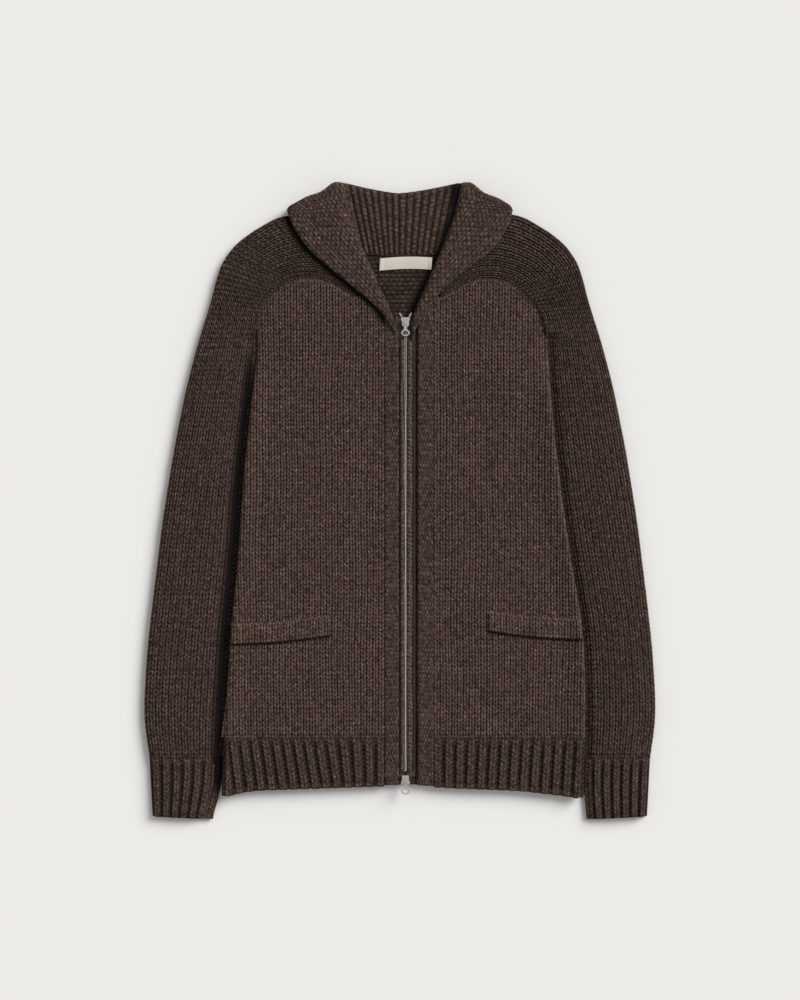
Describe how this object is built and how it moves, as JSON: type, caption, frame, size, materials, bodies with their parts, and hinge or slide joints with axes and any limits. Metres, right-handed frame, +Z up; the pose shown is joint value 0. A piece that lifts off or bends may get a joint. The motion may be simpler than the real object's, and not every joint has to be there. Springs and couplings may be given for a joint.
{
  "type": "cowichan cardigan",
  "caption": "Bulky dark brown wool cardigan laid flat, zipped up, with a ridged shawl collar, ribbed hem and cuffs, and set-in pocket welts",
  "frame": {"origin": "on the floor, under the middle of the laid garment's bounding box", "axes": "+X towards the wearer's left, +Y from the hem to the collar, +Z up from the floor the back lies on"},
  "size_m": [0.5854, 0.7349, 0.0201],
  "materials": {
    "wool_body": "bulky heathered dark brown wool knit, matt",
    "wool_rib": "ribbed and moss-stitch dark brown wool knit, matt",
    "wool_collar": "ridged dark brown wool knit, matt",
    "label_cloth": "woven cream label, plain",
    "zip_tape": "woven brown zip tape",
    "zip_metal": "nickel plate, a little dull"
  },
  "bodies": {
    "garment": {"back_panel": "wool_body", "front_right": "wool_body", "front_left": "wool_body", "sleeve_right": "wool_body", "sleeve_left": "wool_body", "pocket_welt_right": "wool_body", "pocket_welt_left": "wool_body", "rib_back": "wool_rib", "rib_right": "wool_rib", "rib_left": "wool_rib", "cuff_right": "wool_rib", "cuff_left": "wool_rib", "band_right": "wool_rib", "band_left": "wool_rib", "edge_roll_right": "wool_rib", "edge_roll_left": "wool_rib", "collar_back": "wool_collar", "lapel_right": "wool_collar", "lapel_left": "wool_collar", "neck_label": "label_cloth", "zip_tape_right": "zip_tape", "zip_tape_left": "zip_tape", "zip_chain": "zip_metal", "zip_stop_right": "zip_metal", "zip_stop_left": "zip_metal", "slider_top": "zip_metal", "slider_bottom": "zip_metal"},
    "upper_pull": {"pull_top": "zip_metal"},
    "lower_pull": {"pull_bottom": "zip_metal"}
  },
  "joints": [
    {"name": "upper_pull_swing", "type": "hinge", "parent": "garment", "child": "upper_pull", "pos_m": [0.0075, 0.2045, 0.015], "axis": [-1, 0, 0], "range_deg": [0, 170]},
    {"name": "lower_pull_swing", "type": "hinge", "parent": "garment", "child": "lower_pull", "pos_m": [0.0075, -0.322, 0.015], "axis": [-1, 0, 0], "range_deg": [0, 170]}
  ]
}
